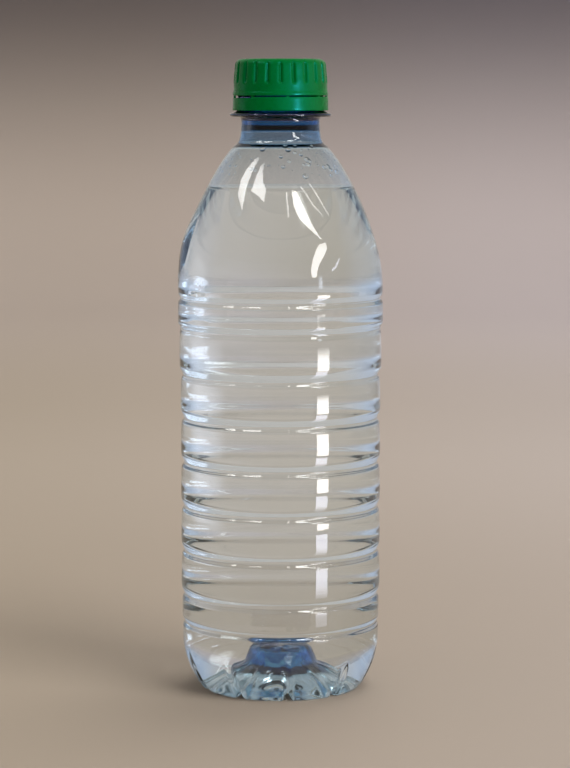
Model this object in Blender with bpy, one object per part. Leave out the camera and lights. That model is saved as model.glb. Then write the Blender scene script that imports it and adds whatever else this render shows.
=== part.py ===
"""Plastic water bottle: a blow-moulded shell, its screw cap, the tamper band under it and the water inside.

The bottle stands on its ten feet, +Z up, with the origin on the floor under the middle of the base.
Every piece shares the Z axis. Blender works in metres, so lengths here are millimetres times MM.
"""

import math

import bmesh
import bpy
from mathutils import Matrix, Vector

MM = 0.001
TURN = 2 * math.pi
GAP = 0.3 * MM

# Neck finish
RIM_TOP = 203.9 * MM
BORE_RADIUS = 10.9 * MM
NECK_ROOT_RADIUS = 12.47 * MM
BEAD_RADIUS = 14.0 * MM
BEAD_HEIGHT = 193.0 * MM
COLLAR_RADIUS = 13.1 * MM
SUPPORT_RING_RADIUS = 16.5 * MM
SUPPORT_RING_HEIGHT = 187.5 * MM
BORE_BOTTOM = 184.0 * MM

# Thread, shared by neck and cap
THREAD_PITCH = 2.7 * MM
THREAD_TURNS = 1.8
THREAD_TOP = 201.6 * MM
THREAD_START = math.radians(60)
THREAD_STEP = math.radians(12)
THREAD_ROOT_WIDTH = 1.6 * MM
THREAD_SUNK = 0.2 * MM
NECK_CREST_RADIUS = 13.55 * MM
CAP_CREST_RADIUS = 12.95 * MM
CAP_THREAD_DROP = 1.25 * MM

# Shoulder, body and ribs
SHOULDER_TOP = (14.4 * MM, 178.0 * MM)
SHOULDER_TOP_HANDLE = (20.4 * MM, 173.2 * MM)
SHOULDER_END_HANDLE = (33.35 * MM, 148.5 * MM)
SHOULDER_END = (33.35 * MM, 132.8 * MM)
UPPER_BAND_RADIUS = 33.45 * MM
PANEL_RADIUS = 33.0 * MM
RIB_LAND_RADIUS = 32.6 * MM
RIB_BULGE = 0.15 * MM
RIB_DEPTH = 0.9 * MM
RIB_REACH_UP = 4.4 * MM
RIB_REACH_DOWN = 2.6 * MM
FIRST_RIB = 103.8 * MM
RIB_PITCH = 14.5 * MM
RIB_COUNT = 6
SIDE_WALL = 0.3 * MM

# Base
FOOT_COUNT = 10
FOOT_CHANNEL_AZIMUTH = math.radians(-87)
CHANNEL_HALF_ANGLE = math.radians(5)
PAD_OUTER_RADIUS = 25.6 * MM
PAD_INNER_RADIUS = 23.2 * MM
GATE_HEIGHT = 13.0 * MM
GATE_WALL = 2.8 * MM
GATE_EDGE_RADIUS = 7.0 * MM
GATE_FOOT_RADIUS = 8.2 * MM

# Damage: each dent is azimuth, height, reach round the wall, reach up the wall, and depth; a negative
# depth is a bulge
DENTS = (
    (math.radians(180), 147.0 * MM, 14.0 * MM, 9.0 * MM, -1.0 * MM),
    (math.radians(215), 131.6 * MM, 5.0 * MM, 3.0 * MM, 0.5 * MM),
    (math.radians(-59.5), 124.0 * MM, 4.5 * MM, 4.5 * MM, 0.25 * MM),
)

# Cap
CAP_TOP = 205.5 * MM
CAP_BOTTOM = 193.7 * MM
CAP_FOOT_RADIUS = 15.45 * MM
CAP_SKIRT_RADIUS = 15.25 * MM
CAP_SHOULDER_RADIUS = 14.75 * MM
CAP_EDGE_RADIUS = 2.3 * MM
CAP_INNER_RADIUS = 14.0 * MM
CAP_PLATE = 1.3 * MM
PLUG_RADIUS = 10.5 * MM
PLUG_DEPTH = 2.4 * MM
GRIP_COUNT = 22
GRIP_DEPTH = 0.4 * MM
GRIP_HALF_ANGLE = math.radians(2.2)

# Tamper band
BAND_TOP = 193.2 * MM
BAND_BOTTOM = 188.9 * MM
BAND_RADIUS = 15.4 * MM
BAND_LIP_RADIUS = 15.55 * MM
BAND_INNER_RADIUS = 14.3 * MM
BAND_FLAP_RADIUS = 13.4 * MM
BAND_SEGMENTS = 48
BRIDGE_COUNT = 8
BRIDGE_WIDTH = 1.0 * MM
BRIDGE_STUB = 0.2 * MM

# Water: clear of the wall by the gap and by what a flat facet cuts off its round side
WATER_LEVEL = 164.5 * MM
WATER_CLEARANCE = GAP + 0.35 * MM
WATER_SEGMENTS = 40


def clear_scene():
    for item in list(bpy.data.objects):
        bpy.data.objects.remove(item, do_unlink=True)


def material(name, colour, roughness, transmission=0.0, refraction=1.45):
    made = bpy.data.materials.new(name)
    made.use_nodes = True
    shader = made.node_tree.nodes["Principled BSDF"]
    shader.inputs["Base Color"].default_value = (*colour, 1.0)
    shader.inputs["Roughness"].default_value = roughness
    shader.inputs["Metallic"].default_value = 0.0
    shader.inputs["Transmission Weight"].default_value = transmission
    shader.inputs["IOR"].default_value = refraction
    return made


def add_object(name, bm, surface):
    """Turns a bmesh into a named, smooth-shaded object with one material."""
    bmesh.ops.recalc_face_normals(bm, faces=bm.faces)
    mesh = bpy.data.meshes.new(name)
    bm.to_mesh(mesh)
    bm.free()
    mesh.materials.append(surface)
    mesh.shade_smooth()
    mesh.set_sharp_from_angle(angle=math.radians(35))
    made = bpy.data.objects.new(name, mesh)
    bpy.context.collection.objects.link(made)
    return made


def join_on(target, extra):
    """Unions an extra solid into a target with a Boolean, and hides the extra as its guide."""
    extra.hide_render = True
    extra.display_type = "WIRE"
    union = target.modifiers.new(extra.name, "BOOLEAN")
    union.operation = "UNION"
    union.solver = "EXACT"
    union.object = extra


def bezier(start, handle_a, handle_b, end, steps):
    """Points from start to end on a cubic curve, both ends included."""
    points = []
    for step in range(steps + 1):
        t = step / steps
        weights = ((1 - t) ** 3, 3 * (1 - t) ** 2 * t, 3 * (1 - t) * t**2, t**3)
        corners = (start, handle_a, handle_b, end)
        points.append(tuple(sum(w * c[axis] for w, c in zip(weights, corners)) for axis in (0, 1)))
    return points


def inward(outline, walls):
    """Moves a profile that runs down the outside towards the inside, by each point's wall thickness."""
    moved = []
    for index, (radius, height) in enumerate(outline):
        before = Vector(outline[max(index - 1, 0)])
        after = Vector(outline[min(index + 1, len(outline) - 1)])
        along = (after - before).normalized()
        moved.append((max(radius + along.y * walls[index], 0.0), height - along.x * walls[index]))
    return moved


def dented(point):
    """Pushes a point towards the axis where a dent reaches it."""
    radius = math.hypot(point.x, point.y)
    azimuth = math.atan2(point.y, point.x)
    push = 0.0
    for centre, height, reach_round, reach_up, depth in DENTS:
        turn = (azimuth - centre + math.pi) % TURN - math.pi
        across = turn * radius / reach_round
        up = (point.z - height) / reach_up
        push += depth * math.exp(-(across**2) - up**2)
    if radius < BORE_RADIUS:
        return point
    scale = (radius - push) / radius
    return Vector((point.x * scale, point.y * scale, point.z))


def ring(bm, azimuths, place):
    """One ring of vertices; place gives each azimuth its (radius, height)."""
    made = []
    for azimuth in azimuths:
        radius, height = place(azimuth)
        point = Vector((radius * math.cos(azimuth), radius * math.sin(azimuth), height))
        made.append(bm.verts.new(dented(point)))
    return made


def skin(bm, upper, lower):
    """Quads between two rings of the same count, or a fan where one of them is a single vertex."""
    count = max(len(upper), len(lower))
    for index in range(count):
        after = (index + 1) % count
        if len(lower) == 1:
            bm.faces.new((upper[index], upper[after], lower[0]))
        elif len(upper) == 1:
            bm.faces.new((upper[0], lower[after], lower[index]))
        else:
            bm.faces.new((upper[index], upper[after], lower[after], lower[index]))


def skin_all(bm, rings, closed=False):
    for upper, lower in zip(rings, rings[1:]):
        skin(bm, upper, lower)
    if closed:
        skin(bm, rings[-1], rings[0])


def thread_ridge(name, wall_radius, crest_radius, top, crest_width, surface):
    """A right-hand helical ridge that stands on a wall, sunk a little into it, with run-out ends."""
    outwards = 1 if crest_radius > wall_radius else -1
    root = wall_radius - outwards * THREAD_SUNK
    lowest = root + outwards * THREAD_SUNK / 4
    steps = round(THREAD_TURNS * TURN / THREAD_STEP)
    bm = bmesh.new()
    sections = []
    for step in range(steps + 1):
        azimuth = THREAD_START - step * THREAD_STEP
        height = top - THREAD_PITCH * step * THREAD_STEP / TURN
        from_end = min(step, steps - step)
        fullness = min(from_end / 2, 1.0)
        crest = lowest + (crest_radius - lowest) * fullness
        corners = (
            (root, THREAD_ROOT_WIDTH / 2),
            (crest, crest_width / 2),
            (crest, -crest_width / 2),
            (root, -THREAD_ROOT_WIDTH / 2),
        )
        sections.append([
            bm.verts.new((radius * math.cos(azimuth), radius * math.sin(azimuth), height + rise))
            for radius, rise in corners
        ])
    for ahead, behind in zip(sections, sections[1:]):
        skin(bm, ahead, behind)
    bm.faces.new(sections[0])
    bm.faces.new(sections[-1])
    return add_object(name, bm, surface)


# Bottle -------------------------------------------------------------------------------------------


def ring_groove(height, upper_land, lower_land, depth=RIB_DEPTH, up=RIB_REACH_UP, down=RIB_REACH_DOWN):
    """A moulded-in groove round the wall, between two lands."""
    bottom = min(upper_land, lower_land) - depth
    return [(upper_land, height + up), (bottom, height), (lower_land, height - down)]


def neck_outside():
    return [
        (NECK_ROOT_RADIUS - 0.5 * MM, RIM_TOP),
        (NECK_ROOT_RADIUS, RIM_TOP - 0.6 * MM),
        (NECK_ROOT_RADIUS, BEAD_HEIGHT + 1.6 * MM),
        (BEAD_RADIUS, BEAD_HEIGHT + 0.4 * MM),
        (BEAD_RADIUS, BEAD_HEIGHT - 0.4 * MM),
        (COLLAR_RADIUS, BEAD_HEIGHT - 0.8 * MM),
        (COLLAR_RADIUS, SUPPORT_RING_HEIGHT + 1.2 * MM),
        (SUPPORT_RING_RADIUS, SUPPORT_RING_HEIGHT + 0.5 * MM),
        (SUPPORT_RING_RADIUS, SUPPORT_RING_HEIGHT - 0.5 * MM),
        (COLLAR_RADIUS, SUPPORT_RING_HEIGHT - 1.1 * MM),
        (COLLAR_RADIUS - 0.25 * MM, BORE_BOTTOM),
    ]


def neck_inside():
    return [
        (BORE_RADIUS + 0.4 * MM, RIM_TOP),
        (BORE_RADIUS, RIM_TOP - 0.5 * MM),
        (BORE_RADIUS, BORE_BOTTOM),
    ]


def neck_foot():
    """From the bore's bottom to the start of the shoulder, with its wall thickness."""
    return [(13.55 * MM, 179.2 * MM)], [1.3 * MM]


def body_outside():
    """Shoulder, bands, label panel and ribs, down to the last ring groove."""
    shoulder = bezier(SHOULDER_TOP, SHOULDER_TOP_HANDLE, SHOULDER_END_HANDLE, SHOULDER_END, 7)
    outline = list(shoulder)
    outline += ring_groove(128.3 * MM, SHOULDER_END[0], UPPER_BAND_RADIUS, 1.0 * MM, 2.0 * MM, 1.6 * MM)
    outline += ring_groove(119.4 * MM, UPPER_BAND_RADIUS, PANEL_RADIUS, 0.4 * MM, 1.4 * MM, 2.8 * MM)
    for index in range(RIB_COUNT):
        height = FIRST_RIB - index * RIB_PITCH
        upper = PANEL_RADIUS if index == 0 else RIB_LAND_RADIUS
        outline += ring_groove(height, upper, RIB_LAND_RADIUS)
        outline.append((RIB_LAND_RADIUS + RIB_BULGE, height - 0.45 * RIB_PITCH))
    outline[-1] = (RIB_LAND_RADIUS + RIB_BULGE, 27.0 * MM)
    outline += ring_groove(22.0 * MM, RIB_LAND_RADIUS, 32.3 * MM, 0.7 * MM, 1.7 * MM, 1.7 * MM)
    return outline


def foot_outside():
    """The base through the middle of a foot, from the side wall to the gate."""
    return [
        (32.0 * MM, 14.6 * MM),
        (30.9 * MM, 9.6 * MM),
        (28.4 * MM, 4.0 * MM),
        (PAD_OUTER_RADIUS, 0.0),
        (PAD_INNER_RADIUS, 0.0),
        (18.4 * MM, 4.6 * MM),
        (12.6 * MM, 8.5 * MM),
        (GATE_FOOT_RADIUS, 10.5 * MM),
        (GATE_EDGE_RADIUS, GATE_HEIGHT - 0.4 * MM),
    ]


def channel_outside():
    """The same stations through the middle of a channel between two feet."""
    return [
        (31.8 * MM, 14.6 * MM),
        (29.9 * MM, 10.4 * MM),
        (27.0 * MM, 6.9 * MM),
        (24.4 * MM, 5.2 * MM),
        (22.2 * MM, 5.3 * MM),
        (17.8 * MM, 7.1 * MM),
        (12.6 * MM, 9.2 * MM),
        (GATE_FOOT_RADIUS, 10.8 * MM),
        (GATE_EDGE_RADIUS, GATE_HEIGHT - 0.4 * MM),
    ]


def base_walls():
    return [wall * MM for wall in (0.35, 0.4, 0.45, 0.55, 0.6, 0.8, 1.3, 2.0, 2.4)]


def bottle_azimuths():
    """Four stations a foot: the channel's middle, its two edges and the foot's middle."""
    pitch = TURN / FOOT_COUNT
    stations = (0.0, CHANNEL_HALF_ANGLE, pitch / 2, pitch - CHANNEL_HALF_ANGLE)
    return [FOOT_CHANNEL_AZIMUTH + foot * pitch + at for foot in range(FOOT_COUNT) for at in stations]


def in_channel(azimuth):
    """True at the middle of a channel."""
    pitch = TURN / FOOT_COUNT
    turns = (azimuth - FOOT_CHANNEL_AZIMUTH) / pitch
    return abs(turns - round(turns)) < 0.01


def shell_rings(bm, upright, foot, channel, centre):
    """Rings down an outline, then down the base, where feet and channels part, to the centre."""
    azimuths = bottle_azimuths()
    rings = [ring(bm, azimuths, lambda _, point=point: point) for point in upright]
    for on_foot, on_channel in zip(foot, channel):
        rings.append(ring(
            bm, azimuths,
            lambda azimuth, a=on_foot, b=on_channel: b if in_channel(azimuth) else a,
        ))
    rings.append([bm.verts.new((0.0, 0.0, centre))])
    return rings


def base_inside(outline, margin=0.0):
    """The inner side of a base outline, which starts one point up the side wall, plus any margin."""
    side = (32.3 * MM, 20.3 * MM)
    centre = (0.0, GATE_HEIGHT)
    walls = [SIDE_WALL + margin] + [wall + margin for wall in base_walls()] + [GATE_WALL + margin]
    return inward([side, *outline, centre], walls)[1:-1]


def make_bottle():
    surface = material("bottle_pet", (0.83, 0.90, 0.95), 0.05, 1.0, 1.575)
    foot_run, foot_walls = neck_foot()
    body = body_outside()
    walls = [0.8 * MM, 0.45 * MM] + [SIDE_WALL] * (len(body) - 2)
    bm = bmesh.new()
    outside = shell_rings(bm, neck_outside() + foot_run + body, foot_outside(), channel_outside(), GATE_HEIGHT)
    inner_wall = inward(foot_run + body, foot_walls + walls)
    inside = shell_rings(
        bm,
        neck_inside() + inner_wall,
        base_inside(foot_outside()),
        base_inside(channel_outside()),
        GATE_HEIGHT + GATE_WALL,
    )
    skin_all(bm, outside)
    skin_all(bm, inside)
    skin(bm, inside[0], outside[0])
    bottle = add_object("bottle", bm, surface)
    join_on(bottle, thread_ridge(
        "neck_thread", NECK_ROOT_RADIUS, NECK_CREST_RADIUS, THREAD_TOP, 0.6 * MM, surface,
    ))
    return bottle


# Water --------------------------------------------------------------------------------------------


def make_water():
    """The contents, clear of the wall; its bottom stays above the channels."""
    surface = material("water", (0.95, 0.98, 1.0), 0.0, 1.0, 1.333)
    clear = SIDE_WALL + WATER_CLEARANCE
    shoulder = bezier(SHOULDER_TOP, SHOULDER_TOP_HANDLE, SHOULDER_END_HANDLE, SHOULDER_END, 14)
    shoulder = [point for point in inward(shoulder, [clear] * len(shoulder)) if point[1] < WATER_LEVEL]
    side_radius = RIB_LAND_RADIUS - RIB_DEPTH - clear
    brim = shoulder[0][0] - (WATER_LEVEL - shoulder[0][1]) * 0.55
    outline = [(brim, WATER_LEVEL)]
    outline += [(min(radius, side_radius), height) for radius, height in shoulder[::2]]
    outline.append((side_radius, 22.0 * MM))
    outline += base_inside(channel_outside(), WATER_CLEARANCE)
    azimuths = [index * TURN / WATER_SEGMENTS for index in range(WATER_SEGMENTS)]
    bm = bmesh.new()
    rings = [[bm.verts.new((0.0, 0.0, WATER_LEVEL))]]
    rings += [ring(bm, azimuths, lambda _, point=point: point) for point in outline]
    rings.append([bm.verts.new((0.0, 0.0, GATE_HEIGHT + GATE_WALL + WATER_CLEARANCE))])
    skin_all(bm, rings)
    return add_object("water", bm, surface)


# Cap ----------------------------------------------------------------------------------------------


def cap_outside():
    """Down the outside from the flat top; the third value is how deep the grip grooves are there."""
    edge_start = CAP_SHOULDER_RADIUS - CAP_EDGE_RADIUS
    edge_height = CAP_TOP - CAP_EDGE_RADIUS
    outline = [(edge_start, CAP_TOP, 0.0)]
    for angle in (40, 65):
        turn = math.radians(angle)
        radius = edge_start + CAP_EDGE_RADIUS * math.sin(turn)
        outline.append((radius, edge_height + CAP_EDGE_RADIUS * math.cos(turn), 0.0))
    outline += [
        (CAP_SHOULDER_RADIUS, edge_height, 0.35 * MM),
        (15.15 * MM, 198.2 * MM, GRIP_DEPTH),
        (15.2 * MM, 197.6 * MM, 0.0),
        (CAP_SKIRT_RADIUS, 195.0 * MM, 0.0),
        (CAP_FOOT_RADIUS, 194.5 * MM, 0.0),
        (CAP_FOOT_RADIUS, CAP_BOTTOM, 0.0),
    ]
    return outline


def cap_inside():
    """Up the inside from the foot to the middle of the plate, over the plug seal."""
    ceiling = CAP_TOP - CAP_PLATE
    return [
        (BEAD_RADIUS + 0.35 * MM, CAP_BOTTOM),
        (CAP_INNER_RADIUS, CAP_BOTTOM + 1.2 * MM),
        (CAP_INNER_RADIUS, ceiling - 2.2 * MM),
        (13.0 * MM, ceiling),
        (PLUG_RADIUS, ceiling),
        (PLUG_RADIUS, ceiling - PLUG_DEPTH + 0.4 * MM),
        (PLUG_RADIUS - 0.4 * MM, ceiling - PLUG_DEPTH),
        (PLUG_RADIUS - 0.9 * MM, ceiling),
    ]


def make_cap():
    surface = material("cap_green", (0.0, 0.19, 0.06), 0.35)
    pitch = TURN / GRIP_COUNT
    first = -TURN / 4
    stations = (0.0, GRIP_HALF_ANGLE, pitch / 2, pitch - GRIP_HALF_ANGLE)
    azimuths = [first + grip * pitch + at for grip in range(GRIP_COUNT) for at in stations]
    bm = bmesh.new()
    rings = [[bm.verts.new((0.0, 0.0, CAP_TOP))]]
    for radius, height, depth in cap_outside():
        made = []
        for index, azimuth in enumerate(azimuths):
            reach = radius - (depth if index % len(stations) == 0 else 0.0)
            made.append(bm.verts.new((reach * math.cos(azimuth), reach * math.sin(azimuth), height)))
        rings.append(made)
    rings += [
        [bm.verts.new((radius * math.cos(a), radius * math.sin(a), height)) for a in azimuths]
        for radius, height in cap_inside()
    ]
    rings.append([bm.verts.new((0.0, 0.0, CAP_TOP - CAP_PLATE))])
    skin_all(bm, rings)
    cap = add_object("cap", bm, surface)
    join_on(cap, thread_ridge(
        "cap_thread", CAP_INNER_RADIUS, CAP_CREST_RADIUS, THREAD_TOP - CAP_THREAD_DROP, 0.5 * MM, surface,
    ))
    return cap


# Tamper band --------------------------------------------------------------------------------------


def make_tamper_band():
    """A turned ring with a flap that hooks under the neck's bead, and the stubs of its bridges on top."""
    surface = material("band_green", (0.0, 0.19, 0.06), 0.35)
    section = [
        (BAND_RADIUS, BAND_TOP),
        (BAND_LIP_RADIUS, BAND_BOTTOM + 0.6 * MM),
        (BAND_LIP_RADIUS, BAND_BOTTOM),
        (BAND_INNER_RADIUS, BAND_BOTTOM),
        (BAND_FLAP_RADIUS, BAND_BOTTOM + 1.3 * MM),
        (BAND_FLAP_RADIUS, BAND_BOTTOM + 2.8 * MM),
        (BAND_INNER_RADIUS, BAND_BOTTOM + 3.1 * MM),
        (BAND_INNER_RADIUS, BAND_TOP),
    ]
    bm = bmesh.new()
    verts = [bm.verts.new((radius, 0.0, height)) for radius, height in section]
    edges = [bm.edges.new((a, b)) for a, b in zip(verts, verts[1:] + verts[:1])]
    bmesh.ops.spin(
        bm, geom=verts + edges, cent=(0, 0, 0), axis=(0, 0, 1), angle=TURN, steps=BAND_SEGMENTS,
    )
    bmesh.ops.remove_doubles(bm, verts=bm.verts, dist=0.001 * MM)
    band = add_object("tamper_band", bm, surface)
    stubs = bmesh.new()
    middle = (BAND_RADIUS + BAND_INNER_RADIUS) / 2
    for index in range(BRIDGE_COUNT):
        place = Matrix.Rotation(index * TURN / BRIDGE_COUNT + math.radians(9), 4, "Z")
        place @= Matrix.Translation((middle, 0.0, BAND_TOP))
        place @= Matrix.Diagonal((0.6 * MM, BRIDGE_WIDTH, 2 * BRIDGE_STUB, 1.0))
        bmesh.ops.create_cube(stubs, size=1.0, matrix=place)
    join_on(band, add_object("bridge_stubs", stubs, surface))
    return band


clear_scene()
make_bottle()
make_water()
make_cap()
make_tamper_band()
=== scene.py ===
import math

import bmesh
import bpy
import numpy as np
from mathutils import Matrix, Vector


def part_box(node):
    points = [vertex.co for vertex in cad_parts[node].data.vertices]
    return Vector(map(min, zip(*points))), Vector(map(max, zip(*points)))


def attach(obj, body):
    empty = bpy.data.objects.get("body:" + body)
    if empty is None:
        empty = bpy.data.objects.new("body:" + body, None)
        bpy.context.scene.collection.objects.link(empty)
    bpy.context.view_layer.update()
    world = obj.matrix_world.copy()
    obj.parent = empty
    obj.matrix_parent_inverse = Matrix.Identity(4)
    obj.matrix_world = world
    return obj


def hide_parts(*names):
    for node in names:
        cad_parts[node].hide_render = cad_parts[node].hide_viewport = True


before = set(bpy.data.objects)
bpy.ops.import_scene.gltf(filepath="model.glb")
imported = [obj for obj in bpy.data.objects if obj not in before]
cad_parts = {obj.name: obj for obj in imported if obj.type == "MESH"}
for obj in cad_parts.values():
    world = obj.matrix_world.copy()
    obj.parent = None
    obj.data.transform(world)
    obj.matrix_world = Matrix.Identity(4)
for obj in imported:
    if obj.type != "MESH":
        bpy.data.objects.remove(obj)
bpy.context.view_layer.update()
mm = 0.001
fullTurn = 2 * math.pi

# heights in mm above the floor, read from the frame
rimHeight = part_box("bottle")[1].z / mm
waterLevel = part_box("water")[1].z / mm
capFoot, capTop = (corner.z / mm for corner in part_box("cap"))
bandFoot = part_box("tamper_band")[0].z / mm


# ---- outlines: lists of (radius, height) in mm

def arcRun(centre, radius, start, end, steps):  # degrees: 0 points outwards, 90 up
    turns = [math.radians(start + (end - start) * i / steps) for i in range(steps + 1)]
    return [(centre[0] + radius * math.cos(t), centre[1] + radius * math.sin(t)) for t in turns]


def curveRun(a, b, c, d, steps):  # from a to d, pulled towards b and c
    points = []
    for i in range(steps + 1):
        t = i / steps
        pulls = ((1 - t) ** 3, 3 * (1 - t) ** 2 * t, 3 * (1 - t) * t**2, t**3)
        points.append(tuple(sum(w * p[k] for w, p in zip(pulls, (a, b, c, d))) for k in (0, 1)))
    return points


def straightRun(a, b, step):
    count = max(round(math.dist(a, b) / step), 1)
    return [tuple(np.array(a) + (np.array(b) - np.array(a)) * i / count) for i in range(count + 1)]


def smoothRun(points, steps):  # a smooth run through every point, with as many values as a point has
    points = [np.array(p, float) for p in points]
    padded = [2 * points[0] - points[1], *points, 2 * points[-1] - points[-2]]
    run = []
    for before, here, after, beyond in zip(padded, padded[1:], padded[2:], padded[3:]):
        for i in range(steps):
            t = i / steps
            bend = 2 * before - 5 * here + 4 * after - beyond
            twist = 3 * here - before - 3 * after + beyond
            run.append(0.5 * (2 * here + (after - before) * t + bend * t**2 + twist * t**3))
    return run + [points[-1]]


def insideOf(outline, walls):  # the same outline moved inwards by each point's wall
    line = np.array(outline, float)
    along = np.gradient(line, axis=0)
    along /= np.linalg.norm(along, axis=1)[:, None]
    walls = np.array(walls)
    moved = np.stack([line[:, 0] + along[:, 1] * walls, line[:, 1] - along[:, 0] * walls], axis=1)
    moved[:, 0] = np.maximum(moved[:, 0], 0.0)
    return [tuple(p) for p in moved]


# ---- meshes

def turnedMesh(name, outline, azimuths, shares=None, loop=False):
    # one ring of points per outline point, a single point where the radius is zero
    verts, rings, rowOf = [], [], []
    for row, (radius, height) in enumerate(outline):
        if radius < 1e-6:
            rings.append([len(verts)])
            verts.append((0.0, 0.0, height * mm))
            rowOf.append(row)
            continue
        rings.append(list(range(len(verts), len(verts) + len(azimuths))))
        for azimuth in azimuths:
            verts.append((radius * mm * math.cos(azimuth), radius * mm * math.sin(azimuth), height * mm))
            rowOf.append(row)
    faces = []
    for lower, upper in zip(rings, rings[1:] + rings[:1] if loop else rings[1:]):
        for i in range(len(azimuths)):
            j = (i + 1) % len(azimuths)
            if len(lower) == 1:
                faces.append((lower[0], upper[j], upper[i]))
            elif len(upper) == 1:
                faces.append((lower[i], lower[j], upper[0]))
            else:
                faces.append((lower[i], lower[j], upper[j], upper[i]))
    mesh = bpy.data.meshes.new(name)
    mesh.from_pydata(verts, [], faces)
    for label, values in (shares or {}).items():
        field = mesh.attributes.new(label, "FLOAT", "POINT")
        field.data.foreach_set("value", np.array(values, np.float32)[rowOf])
    work = bmesh.new()
    work.from_mesh(mesh)
    bmesh.ops.recalc_face_normals(work, faces=work.faces)
    work.to_mesh(mesh)
    work.free()
    mesh.shade_smooth()
    return addObject(name, mesh)


def addObject(name, data):
    made = bpy.data.objects.new(name, data)
    bpy.context.scene.collection.objects.link(made)
    return made


def tell(label, piece):
    print(label + ":", len(piece.data.polygons), "faces")


def clothe(piece, material):
    piece.data.materials.clear()
    piece.data.materials.append(material)


# ---- node trees

def wire(tree, socket, value):  # a socket takes another node's output or a plain value
    if isinstance(value, bpy.types.NodeSocket):
        tree.links.new(value, socket)
    elif value is not None:
        socket.default_value = value


def addNode(tree, kind, *values, **named):  # a capital letter names a socket, a small one a setting
    node = tree.nodes.new(kind)
    for key, value in named.items():
        if key[0].islower():
            setattr(node, key, value)
    for socket, value in zip(node.inputs, values):
        wire(tree, socket, value)
    for key, value in named.items():
        if key[0].isupper():
            wire(tree, node.inputs[key.replace("_", " ")], value)
    spot = len(tree.nodes)
    node.location = (190 * (spot % 14), -220 * (spot // 14))
    return node


def result(tree, kind, *values, **named):
    return addNode(tree, kind, *values, **named).outputs[0]


def calc(tree, operation, *values):
    return result(tree, "ShaderNodeMath", *values, operation=operation)


def minus(tree, first, second):
    return calc(tree, "SUBTRACT", first, second)


def product(tree, first, *others):
    for other in others:
        first = calc(tree, "MULTIPLY", first, other)
    return first


def ramp(tree, value, low, high, start=0.0, end=1.0, **settings):  # start at low, end at high
    return result(tree, "ShaderNodeMapRange", value, low, high, start, end, **settings)


def mixColours(tree, share, first, second, blend="MIX"):
    mixed = addNode(tree, "ShaderNodeMix", data_type="RGBA", blend_type=blend)
    for socket, value in ((0, share), (6, first), (7, second)):
        wire(tree, mixed.inputs[socket], value)
    return mixed.outputs[2]


def readField(tree, label):
    return result(tree, "GeometryNodeInputNamedAttribute", label, data_type="FLOAT")


def scaleBy(tree, direction, amount):
    return result(tree, "ShaderNodeVectorMath", direction, operation="SCALE", Scale=amount)


def upwards(tree, amount):
    return result(tree, "ShaderNodeCombineXYZ", 0.0, 0.0, amount)


def startTree(name, inputs, outputs={"Geometry": ""}, kind="GeometryNodeTree"):
    tree = bpy.data.node_groups.new(name, kind)
    kinds = {"int": "Int", "str": "Geometry", "tuple": "Color", "Vector": "Vector", "Material": "Material"}
    for labels, way in ((inputs, "INPUT"), (outputs, "OUTPUT")):
        for label, value in labels.items():
            shape = kinds.get(type(value).__name__, "Float")
            socket = tree.interface.new_socket(label, in_out=way, socket_type="NodeSocket" + shape)
            if way == "INPUT" and shape not in ("Geometry", "Material"):
                socket.default_value = value
    enter = addNode(tree, "NodeGroupInput").outputs
    leave = addNode(tree, "NodeGroupOutput").inputs
    return tree, enter, leave


def useTree(tree, group, **values):  # a group placed inside another tree
    kind = "GeometryNodeGroup" if group.bl_idname == "GeometryNodeTree" else "ShaderNodeGroup"
    return addNode(tree, kind, node_tree=group, **values)


def runTree(piece, tree, values):  # sets the named inputs, then keeps the result as a plain mesh
    modifier = piece.modifiers.new(tree.name, "NODES")
    modifier.node_group = tree
    for item in tree.interface.items_tree:
        if item.in_out == "INPUT" and item.name in values:
            modifier[item.identifier] = values[item.name]
    bpy.context.view_layer.update()
    seen = piece.evaluated_get(bpy.context.evaluated_depsgraph_get())
    mesh = bpy.data.meshes.new_from_object(seen)
    mesh.name = piece.name
    piece.modifiers.clear()
    piece.data = mesh
    return piece


def polarSplit(tree):  # radius, azimuth, height and the outward direction of each point
    place = result(tree, "GeometryNodeInputPosition")
    x, y, z = addNode(tree, "ShaderNodeSeparateXYZ", place).outputs
    outward = result(tree, "ShaderNodeCombineXYZ", x, y, 0.0)
    radius = addNode(tree, "ShaderNodeVectorMath", outward, operation="LENGTH").outputs["Value"]
    outward = result(tree, "ShaderNodeVectorMath", outward, operation="NORMALIZE")
    return place, radius, calc(tree, "ARCTAN2", y, x), z, outward


def hump(tree, share):  # 1 at the middle, 0 from share 1 on, round at both
    away = calc(tree, "MINIMUM", calc(tree, "ABSOLUTE", share), 1.0)
    wave = calc(tree, "COSINE", product(tree, away, math.pi))
    return calc(tree, "MULTIPLY_ADD", wave, 0.5, 0.5)


def wrapped(tree, azimuth, middle, half):  # the azimuth from a middle, from -half to half
    turned = minus(tree, azimuth, middle)
    return calc(tree, "WRAP", turned, half, product(tree, half, -1.0))


def spokes(tree, azimuth, count, first, half):  # 1 along evenly spaced azimuths, 0 beyond half to each side
    pitch = calc(tree, "DIVIDE", fullTurn, count)
    return hump(tree, calc(tree, "DIVIDE", wrapped(tree, azimuth, first, product(tree, pitch, 0.5)), half))


def makeRingGroove():  # how far a ring groove pushes the wall in
    tree, enter, leave = startTree(
        "ringGroove",
        {"Height": 0.0, "Centre": 0.1, "Depth": 0.001, "Reach Up": 0.002, "Reach Down": 0.002}, {"Push": 0.0},
    )
    away = minus(tree, enter["Height"], enter["Centre"])
    above = calc(tree, "DIVIDE", away, enter["Reach Up"])
    below = calc(tree, "DIVIDE", product(tree, away, -1.0), enter["Reach Down"])
    share = calc(tree, "MAXIMUM", above, below)
    wire(tree, leave["Push"], product(tree, hump(tree, share), enter["Depth"]))
    return tree


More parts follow.
